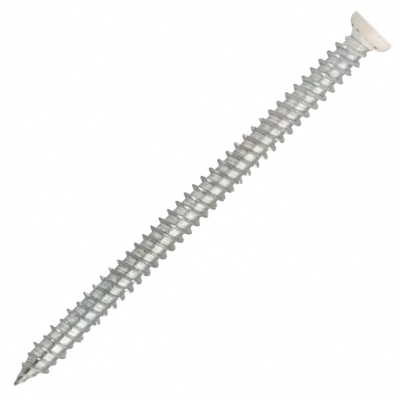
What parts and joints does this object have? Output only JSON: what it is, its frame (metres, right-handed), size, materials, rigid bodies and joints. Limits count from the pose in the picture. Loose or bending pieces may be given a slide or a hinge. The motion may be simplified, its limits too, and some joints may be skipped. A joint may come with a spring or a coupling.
{
  "type": "fixing screw",
  "caption": "Long flat-headed screw with a coarse two-start thread and a sharp point, for fixing window and door frames straight into masonry or concrete.",
  "frame": {"origin": "centre of the head's flat face, which the screw stands on", "axes": "+Z along the screw's axis from the head's face to the point; +X through a lobe of the socket and through a full-height crest of the high thread start"},
  "size_m": [0.0112, 0.0112, 0.112],
  "materials": {
    "zinc_plate": "bright zinc plating over rolled steel, slightly streaked along the thread",
    "white_coat": "satin warm-white coat on the head"
  },
  "bodies": {
    "root": {"fixing_screw": "zinc_plate"}
  },
  "joints": []
}
